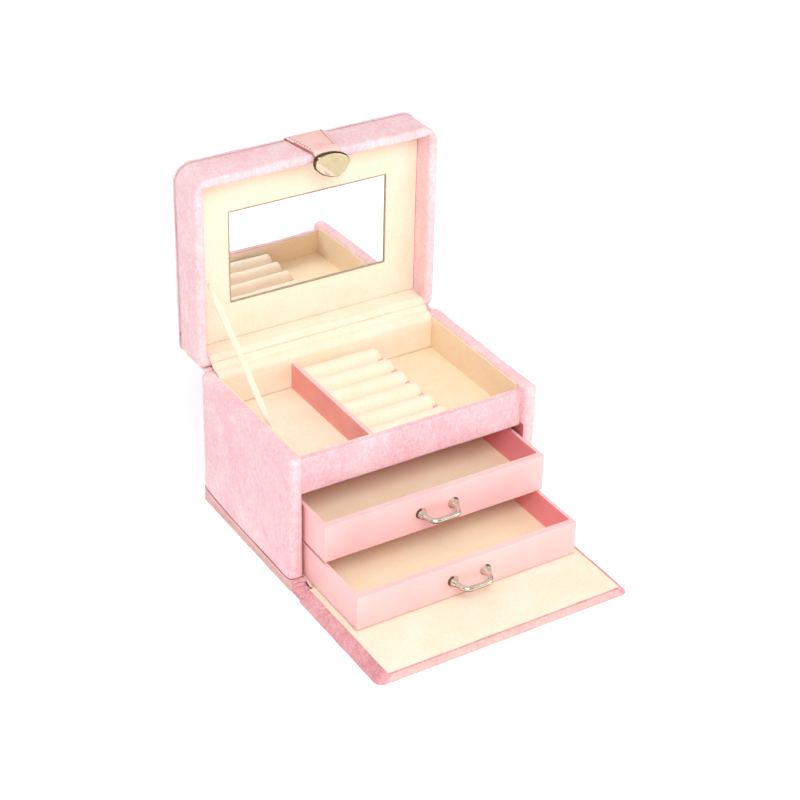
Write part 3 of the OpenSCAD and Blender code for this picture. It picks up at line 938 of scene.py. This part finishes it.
def build_lid_panel():
    """The cream panel with its window, the window's bead painted dark as a shade line, the mirror behind it
    and its backing.
    """
    window_lo, window_hi = cad("mirror_glass")
    lap = 4.0
    half_w = window_hi.x - lap
    v0, v1 = window_lo.z + lap - HINGE_Z, window_hi.z - lap - HINGE_Z
    top = PANEL_HI.z - HINGE_Z
    bottom = PANEL_LO.z - HINGE_Z
    corners = (0.8, 0.8)
    stations = ring_stations(half_w, v0, v1, corners, PANEL_HI.x - 0.1, bottom + 0.1, top - 0.1, 0.5)

    def window_edge(centre, normal):
        """The window's faces are painted dark as a shade line."""
        in_window = abs(centre.x) < half_w + 0.35 and v0 - 0.35 < centre.z - HINGE_Z < v1 + 0.35
        return 1 if in_window and abs(normal.y) < 0.5 else 0

    thick = 2.0
    panel = wall("lid_panel_cloth", stations, 0, thick, 0.8,
                 lambda x, v, up: in_lid(x, v, RECESS + thick - up), [CREAM, EDGE], True, rows=2,
                 slot_of=window_edge)
    ruffle(panel, 0.15, 16)
    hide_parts("lid_inner_panel")
    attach(panel, "lid")
    bead = 0.19
    stations = ring_stations(half_w + bead - 0.1, v0 - bead + 0.1, v1 + bead - 0.1, corners,
                             half_w - 0.1, v0 + 0.1, v1 - 0.1, 0.5)
    trim = wall("window_shade_line", stations, 0, 1.6, 0.15,
                lambda x, v, up: in_lid(x, v, RECESS + 1.5 - up), [EDGE], True, rows=1)
    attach(trim, "lid")
    mirror = slab("mirror_plate", Vector((window_lo.x, PANEL_LO.y + 0.55, window_lo.z)), window_hi, 1,
                  [MIRROR], roll=(0.15, 0.15), step=60)
    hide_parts("mirror_glass")
    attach(mirror, "lid")
    card = board("mirror_backing_card", "mirror_backing", 1, [ROSE], roll=(0.3, 0.3), step=20)
    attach(card, "lid")


def build_lid_hinge():
    """The lining that sweeps from the tray's back over the hinge to the lid's panel, and the cloth behind."""
    half = TRAY_X + 0.7
    path = corner_path([(TRAY_BACK_Y - 0.4, TRAY_Z + 0.2), (TRAY_BACK_Y - 0.4, BODY_TOP - 0.2),
                        (HINGE_Y - 2.6, BODY_TOP + 1.3), (HINGE_Y + 0.6, HINGE_Z + LID_WALL - 0.6),
                        (HINGE_Y + RECESS - 0.1, HINGE_Z + LID_WALL + 0.3)], 3.6, 1.2)
    lining_thick, outer_thick = 0.5, 0.7

    def crease(x, run):
        """Cross creases where the lining bends, and slow waves all over it."""
        drift = 1.5 * soft(x / 34, 3.3, 0)
        fade = hill(run, 31, 10)
        return 0.3 * math.sin((run + drift) * 1.35) * fade + 0.2 * soft(x / 26, run / 9, 1.0)

    lining = strip("hinge_lining_cloth", path, spread(-half, half, 3), lining_thick, [CREAM], crease)
    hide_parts("lid_hinge_lining", "tray_back_lining")
    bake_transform(lining)
    half = INNER_X + 4.0
    out = corner_path([(BACK_Y + 0.15, BODY_TOP - 21), (BACK_Y + 0.15, HINGE_Z - 0.6),
                       (HINGE_Y + FRAME_DEEP - 3, HINGE_Z - 0.6)], 0.9, 1.4)

    def pucker(x, run):
        """Fine puckers where the outer cloth turns in under the lid."""
        fade = hill(run, 21, 5)
        return 0.2 * math.sin(run * 2.2 + x * 0.05) * fade + 0.12 * soft(x / 8, run / 5, 5.0)

    cloth = strip("hinge_outer_cloth", out, spread(-half, half, 3), -outer_thick, [PINK], pucker)
    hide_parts("lid_hinge_cloth")
    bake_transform(cloth)


# The clasp's own outline, from its left end over the top, across from and above its middle
CLASP_OUTLINE = [(-11.2, 4.4), (-9.4, 8.2), (-4.5, 9.5), (2.5, 9.2), (9.6, 6.4), (12.2, 2.2),
                 (10.2, -2.6), (5.8, -6.4), (0.5, -6.6), (-5.6, -4.0), (-10.0, 0.2)]


def closed_curve(points, each):
    """A smooth closed curve through points, with each steps between neighbours."""
    total = len(points)
    curve = []
    for i in range(total):
        p0, p1, p2, p3 = (Vector(points[(i + k - 1) % total]) for k in range(4))
        for step in range(each):
            t = step / each
            curve.append(((p1 * 2) + (p2 - p0) * t + (p0 * 2 - p1 * 5 + p2 * 4 - p3) * t * t
                          + (p1 * 3 - p0 - p2 * 3 + p3) * t ** 3) / 2)
    return curve


def build_clasp():
    """The magnetic clasp: a bevelled nickel shell with one turned-down facet."""
    low, high = cad("clasp_body")
    plate_hi = cad("clasp_plate")[1]
    middle_x, middle_z = (low.x + high.x) / 2, (low.z + high.z) / 2
    thick = plate_hi.y - low.y - 0.3
    heart = Vector((0.4, 1.4))
    outline = closed_curve(CLASP_OUTLINE, 14)
    sides = len(outline)
    crease_at, crease_way = Vector((-1.9, -1.2)), Vector((-0.66, -0.75)).normalized()
    facet_slope = 0.42
    # (size of the outline, height as a share of the thickness) up the bevel, then over the crown
    bevel = [(1.0, 0.0), (1.0, 0.35), (0.995, 0.55), (0.975, 0.74), (0.94, 0.87), (0.91, 0.93)]
    crown_rings = 30
    crown = [(0.89 * (1 - i / crown_rings), 0.95 + 0.05 * i / crown_rings) for i in range(crown_rings)]
    steps = bevel + crown
    base_y = plate_hi.y - 0.1
    points = []
    for scale, rise in steps:
        for corner in outline:
            spot = heart + (corner - heart) * scale
            past = max(0.0, (spot - crease_at).dot(crease_way))
            turned = facet_slope * past if rise > 0.3 else 0.0
            lift = max(0.2, thick * rise - turned)
            points.append((middle_x + spot.x, base_y - lift, middle_z + spot.y))
    points.append((middle_x + heart.x, base_y - thick, middle_z + heart.y))
    faces = ring_faces(len(steps), sides, capped=False)
    last = (len(steps) - 1) * sides
    for j in range(sides):
        faces.append([last + j, last + (j + 1) % sides, len(points) - 1])
    faces.append(list(reversed(range(sides))))

    def finish_and_painted_light_of(centre, normal):
        """The rim painted dark as shade, the shell, and the facet past its crease painted pale as a
        highlight.
        """
        past = (Vector((centre.x - middle_x, centre.z - middle_z)) - crease_at).dot(crease_way)
        return (2 if past > 0 else 1) if normal.y < -0.8 else 0

    piece = outward(make("clasp_shell", points, faces, [RIM, SHELL, FACET_NICKEL]))
    paint(piece, finish_and_painted_light_of)
    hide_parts("clasp_body", "clasp_plate")
    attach(piece, "strap")
    dress("clasp_magnet", ZINC)


def strap_half(run, total, wide):
    """Half the strap's width: parallel sides behind, drawn in over the lid's edge down to the clasp."""
    narrow, drawn_in = 7.0, 38.0
    return wide + (narrow - wide) * clamp(1 - (total - run) / drawn_in) ** 1.2


def add_stitch(points, faces, heart, along, up):
    """One stitch: a small spindle of thread that lies along the strap."""
    half_length, thick, sides = 0.8, 0.42, 6
    shares = (-1, -0.5, 0, 0.5, 1)
    faces += ring_faces(len(shares), sides, start=len(points))
    for share in shares:
        tall = thick * math.sqrt(max(0.04, 1 - share * share))
        for b in range(sides):
            angle = math.pi * 2 * b / sides
            points.append(heart + along * (share * half_length)
                          + Vector((math.cos(angle) * tall * 0.9, 0, 0)) + up * (math.sin(angle) * tall))


def build_strap():
    """The leatherette strap: over the lid's outer face and front edge, down to the clasp, and its two
    rows of stitches."""
    anchor_lo, anchor_hi = cad("strap_anchor")
    tongue_lo, tongue_hi = cad("strap_tongue")
    centre = (anchor_lo.x + anchor_hi.x) / 2
    wide = (anchor_hi.x - anchor_lo.x) / 2 - 0.2
    thick, bend_r, step = 1.3, 2.0, 1.5
    back_y, top_z, front_y = LID_HI.y + 0.35, LID_HI.z + 0.45, tongue_hi.y + 0.1
    path = corner_path([(back_y, anchor_lo.z), (back_y, top_z), (front_y, top_z),
                        (front_y, tongue_lo.z + 5.0)], bend_r, step)
    run = runs(path)
    total = run[-1]
    flat_to = 0.94
    across = [-1, -0.985, -flat_to, -0.8, -0.5, 0, 0.5, 0.8, flat_to, 0.985, 1]

    def frame_at(i):
        """The strap's direction and its outward side at the path's point i."""
        along = Vector((0, *heading(path, i)))
        return along, along.cross(Vector((1, 0, 0)))

    tip_shift, tip_reach, edge_drop = 1.5, 13.0, 0.55
    rings = []
    for i, (y, z) in enumerate(path):
        along, up = frame_at(i)
        half = strap_half(run[i], total, wide)
        shift = tip_shift * max(0.0, 1 - (total - run[i]) / tip_reach)
        ring = [Vector((centre + u * half + shift, y, z)) for u in reversed(across)]
        for u in across:
            edge = 1 - edge_drop * max(0.0, (abs(u) - flat_to) / (1 - flat_to)) ** 2
            ring.append(Vector((centre + u * half + shift, y, z)) + up * (thick * edge))
        rings.append(ring)
    strap = skin("closing_strap", rings, [STRAP, STRAP_EDGE])
    # The strap's side faces take the darker leatherette.
    paint(strap, lambda centre, normal: 1 if abs(normal.x) > 0.6 else 0)
    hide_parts("strap_anchor", "strap_tongue")
    stitches, stitch_faces = [], []
    pitch, margin, hidden = 2.4, 2.3, 12
    for n in range(1, int((total - hidden) / pitch)):
        at = n * pitch
        i = max(1, min(len(path) - 2, sum(1 for r in run if r < at) - 1))
        t = (at - run[i]) / max(1e-6, run[i + 1] - run[i])
        along, up = frame_at(i)
        spot = Vector((centre, *[path[i][k] + (path[i + 1][k] - path[i][k]) * t for k in (0, 1)]))
        for side in (-1, 1):
            half = strap_half(at, total, wide) - margin
            heart = spot + Vector((side * half, 0, 0)) + up * thick
            add_stitch(stitches, stitch_faces, heart, along, up)
    thread = outward(make("strap_stitching", stitches, stitch_faces, [THREAD]))
    for piece in (strap, thread):
        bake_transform(piece)


# --- Flap ---

def shape_flap_cover(cover, top):
    """Slopes the flap's sides, crumples and folds the cloth on them, and sinks it under the lining."""
    inner, lean_x = FLAP_TOP_HI.x, 62
    bead, crumple, pleat, fold, sink = 0.45, 0.55, 0.8, 0.55, 0.55
    for vertex in cover.data.vertices:
        x, y, z = vertex.co / MM
        up = clamp(z / top)
        past = clamp((abs(x) - lean_x) / (FLAP_HI.x - lean_x))
        x -= math.copysign((FLAP_HI.x - inner - 0.6) * up ** 1.5 * past, x)
        z += bead * up * hill(abs(x), inner + 0.9, 1.1)
        if abs(x) > inner:
            wrinkled = crumple * soft(x / 5, y / 7, z / 5)
            wrinkled += pleat * hill(y, FLAP_HI.y, 9) * math.sin(y * 1.4 + x * 0.4)
            z += wrinkled * up * min(1.0, (FLAP_HI.x - abs(x)) / 3)
            x -= math.copysign(fold * hill(y, FLAP_LO.y + 9, 0.9) * up, x)
        elif abs(x) < inner - 0.8 and y > FLAP_TOP_LO.y + 0.8:
            z -= sink * up
        vertex.co = Vector((x, y, z)) * MM
    cover.data.update()


def build_flap():
    """The drop front: a cloth-covered board with sloping sides, a cream lining and a soft hinge."""
    high = Vector((FLAP_HI.x, FLAP_HI.y, FLAP_TOP_HI.z - 0.25))
    inner = FLAP_TOP_HI.x

    def pressed_front(centre, normal):
        """A flatter, darker suede on the flap's front face; the rest of the cover takes the deep pink painted
        as shade.
        """
        return 1 if normal.y < -0.7 and abs(centre.x) < inner else 0

    cover = slab("flap_cover", FLAP_LO, high, 2, [PINK_SHADED_BAND, PINK_FLAT], plan_r=(5, 1), roll=(0.8, 0.9),
                 step=3, slot_of=pressed_front)
    shape_flap_cover(cover, high.z)
    ruffle(cover, 0.2, 12)
    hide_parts("flap_outer_board", "flap_inner_board")
    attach(cover, "flap")
    # The lining's side and lower faces take the dark line painted as shade.
    lining = slab("flap_lining_cloth",
                  Vector((-inner - 0.1, FLAP_TOP_LO.y + 0.2, FLAP_TOP_LO.z - 0.1)),
                  Vector((inner + 0.1, FLAP_TOP_HI.y, FLAP_TOP_HI.z - 0.12)), 2, [CREAM, EDGE],
                  plan_r=(1.2, 0.5), roll=(0.1, 0.2), step=4,
                  slot_of=lambda centre, normal: 1 if normal.z < 0.5 else 0)
    ruffle(lining, 0.09, 15)
    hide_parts("flap_lining")
    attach(lining, "flap")
    dress("flap_keeper", ZINC)
    build_flap_hinge()


def hinge_sheet(name, path, across, thick, material, wave):
    """A soft piece of the flap's hinge: a cloth strip that bends between the body and the flap."""
    piece = strip(name, path, across, thick, [material], wave)
    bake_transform(piece)
    return piece


def build_flap_hinge():
    """The wrinkled cloth under the hinge, its gathers at the panels' feet, and the lining above it."""
    back, front = FRONT_Y + 0.2, FLAP_HI.y - 1.2
    band_thick, gather_thick, lining_thick = 1.6, 1.7, 0.4
    middle = (back + front) / 2

    def wrinkle(x, run):
        """Wrinkles along the hinge, deeper towards its ends."""
        ends = clamp((abs(x) - 60) / 22)
        ripple = math.sin(run * 1.9 + 4 * soft(x / 9, 7.7, 0))
        return max(-0.3, (0.25 + 0.6 * ends) * ripple * hill(run, 6.5, 4.5))

    under = corner_path([(front + 0.4, 0.7), (middle, 0.45), (back - 1.5, 0.7)], 1.5, 0.6)
    across = spread(-FLAP_HI.x + 0.6, FLAP_HI.x - 0.6, 1.4)
    cloth = hinge_sheet("flap_hinge_band", under, across, band_thick, PINK_SHADED_BAND, wrinkle)
    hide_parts("flap_hinge_cloth")

    def gather(x, run):
        """Deep gathers that wander across each narrow end."""
        ripple = math.sin(run * 2.3 + 5 * soft(x / 6, 1.7, 0))
        return 0.55 * ripple + 0.5 * soft(x / 2.5, run / 2.5, 4.0)

    foot = corner_path([(FLAP_HI.y - 1.6, 3.1), (FLAP_HI.y + 1.5, 1.9), (FRONT_Y - 2.2, 1.9),
                        (FRONT_Y - 0.1, 7.5)], 2.0, 0.5)
    for name, side in (("left", -1), ("right", 1)):
        across = sorted(side * x for x in spread(INNER_X + 0.3, HALF_W + 0.4, 0.6))
        hinge_sheet(f"flap_hinge_gather_{name}", foot, across, gather_thick, PINK_SHADED_BAND, gather)
    over = corner_path([(front - 1.6, FLAP_TOP_HI.z - 0.2), (front + 1.0, 6.0), (middle, 3.9),
                        (back - 0.8, 6.0), (back + 0.5, 6.1)], 1.4, 0.8)
    across = spread(-INNER_X + 0.4, INNER_X - 0.4, 3)
    hinge_sheet("flap_hinge_lining", over, across, lining_thick, CREAM,
                lambda x, run: 0.15 * soft(x / 12, run / 4, 2.0))


def build_ribbon():
    """The stay ribbon: a flat satin strip, sewn to the tray's wall and to the lid's wall."""
    low, high = cad("lid_stay_ribbon")
    start = Vector((low.x + 0.2, low.y + 1.5, low.z + 1.5))
    end = Vector((low.x - 1.2, high.y - 1.0, high.z - 1.0))
    along = (end - start).normalized()
    side = Vector((1, 0, 0)).cross(along).normalized()
    count, across, wide, half_thick, cup = 36, 4, 4.0, 0.12, 0.3
    sag_back, sag_out, twist = 1.1, 1.2, math.radians(42)
    points = []
    for layer in (-half_thick, half_thick):
        for i in range(count + 1):
            t = i / count
            bow = math.sin(math.pi * t)
            turn = twist * min(1.0, 2.2 * bow)
            away = side * math.cos(turn) + Vector((math.sin(turn), 0, 0))
            face = Vector((math.cos(turn), 0, 0)) - side * math.sin(turn)
            centre = start.lerp(end, t) + side * (-sag_back * bow) + Vector((sag_out * bow, 0, 0))
            for j in range(across + 1):
                s = j / across - 0.5
                points.append(centre + away * (s * wide) + face * (layer + cup * s * s))
    faces = layer_faces(count + 1, across + 1)
    piece = outward(make("lid_stay", points, faces, [RIBBON]))
    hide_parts("lid_stay_ribbon")
    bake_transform(piece)


# --- Camera, floor and light ---

# In metres: the floor's size, and how far it lies under the chest so that their faces don't meet
FLOOR_SIZE = 6
FLOOR_GAP = 0.0004
FLOOR_GLOW = 0.27

# Stops up the sky, from the horizon and below (0) to straight up (1)
SKY = ((0.0, "ffffff"), (0.20, "ffffff"), (0.24, "1c1a19"), (0.47, "1c1a19"), (0.54, "e9e9e9"),
       (1.0, "e9e9e9"))
SKY_STRENGTH = 1.03

# In metres and watts: name, place, target, width and height, power
LAMPS = (("key", (-0.35, -0.95, 1.05), (0, -0.02, 0.08), (0.7, 0.7), 12),
         ("side", (-1.3, 0.1, 0.9), (0, 0, 0.08), (1.0, 1.0), 1.8),
         ("fill", (1.1, -1.0, 0.6), (0, 0, 0.06), (1.0, 1.0), 5.5))


def build_stage():
    """A white floor, and a sky with a dark band low down that the mirror and the metal reflect."""
    bpy.ops.mesh.primitive_plane_add(size=FLOOR_SIZE, location=(0, 0, -FLOOR_GAP))
    floor = bpy.context.object
    floor.name = "studio_floor"
    made = Shader("studio_floor_white", Roughness=0.9, Emission_Strength=FLOOR_GLOW,
                  Emission_Color=srgb("ffffff"))
    made.colour(made.ramp(made.noise(4), (0.3, "f4f4f4"), (0.7, "f8f8f8")))
    floor.data.materials.append(made.material)
    world = bpy.data.worlds.new("studio")
    bpy.context.scene.world = world
    world.use_nodes = True
    nodes, links = world.node_tree.nodes, world.node_tree.links
    where = nodes.new("ShaderNodeTexCoord").outputs["Generated"]
    split = nodes.new("ShaderNodeSeparateXYZ")
    links.new(where, split.inputs["Vector"])
    sky = nodes.new("ShaderNodeValToRGB")
    fill_ramp(sky, SKY)
    links.new(split.outputs["Z"], sky.inputs["Fac"])
    links.new(sky.outputs["Color"], nodes["Background"].inputs["Color"])
    nodes["Background"].inputs["Strength"].default_value = SKY_STRENGTH
    bpy.context.scene.view_settings.view_transform = "Standard"


def light(name, place, target, size, power):
    """A rectangular lamp at a place in metres, turned to its target."""
    data = bpy.data.lights.new(name, "AREA")
    data.shape = "RECTANGLE"
    data.size, data.size_y = size
    data.energy = power
    lamp = bpy.data.objects.new(name, data)
    lamp.location = place
    lamp.rotation_euler = (Vector(target) - Vector(place)).to_track_quat("-Z", "Y").to_euler()
    bpy.context.scene.collection.objects.link(lamp)


# In degrees, then millimetres of focal length and sensor, then metres
CAMERA_AZIMUTH = -32.4
CAMERA_ELEVATION = 31.6
CAMERA_ROLL = 1.5
CAMERA_LENS = 90.6
CAMERA_SENSOR = 36
CAMERA_PLACE = (-0.5250, -0.8622, 0.6948)


def build_camera():
    data = bpy.data.cameras.new("camera")
    data.lens = CAMERA_LENS
    data.sensor_width = CAMERA_SENSOR
    camera = bpy.data.objects.new("camera", data)
    azimuth, elevation = math.radians(CAMERA_AZIMUTH), math.radians(CAMERA_ELEVATION)
    look = Vector((-math.sin(azimuth) * math.cos(elevation), math.cos(azimuth) * math.cos(elevation),
                   -math.sin(elevation)))
    turn = look.to_track_quat("-Z", "Y").to_matrix().to_4x4()
    camera.matrix_world = turn @ Matrix.Rotation(math.radians(CAMERA_ROLL), 4, "Z")
    camera.location = CAMERA_PLACE
    bpy.context.scene.collection.objects.link(camera)
    bpy.context.scene.camera = camera


build_camera()
build_stage()
for lamp_row in LAMPS:
    light(*lamp_row)
build_carcass()
build_tray()
for number in range(1, 7):
    build_ring_roll(number)
for drawer in ("upper", "lower"):
    build_drawer(drawer)
build_lid()
build_lid_hinge()
build_ribbon()
build_strap()
build_clasp()
build_flap()
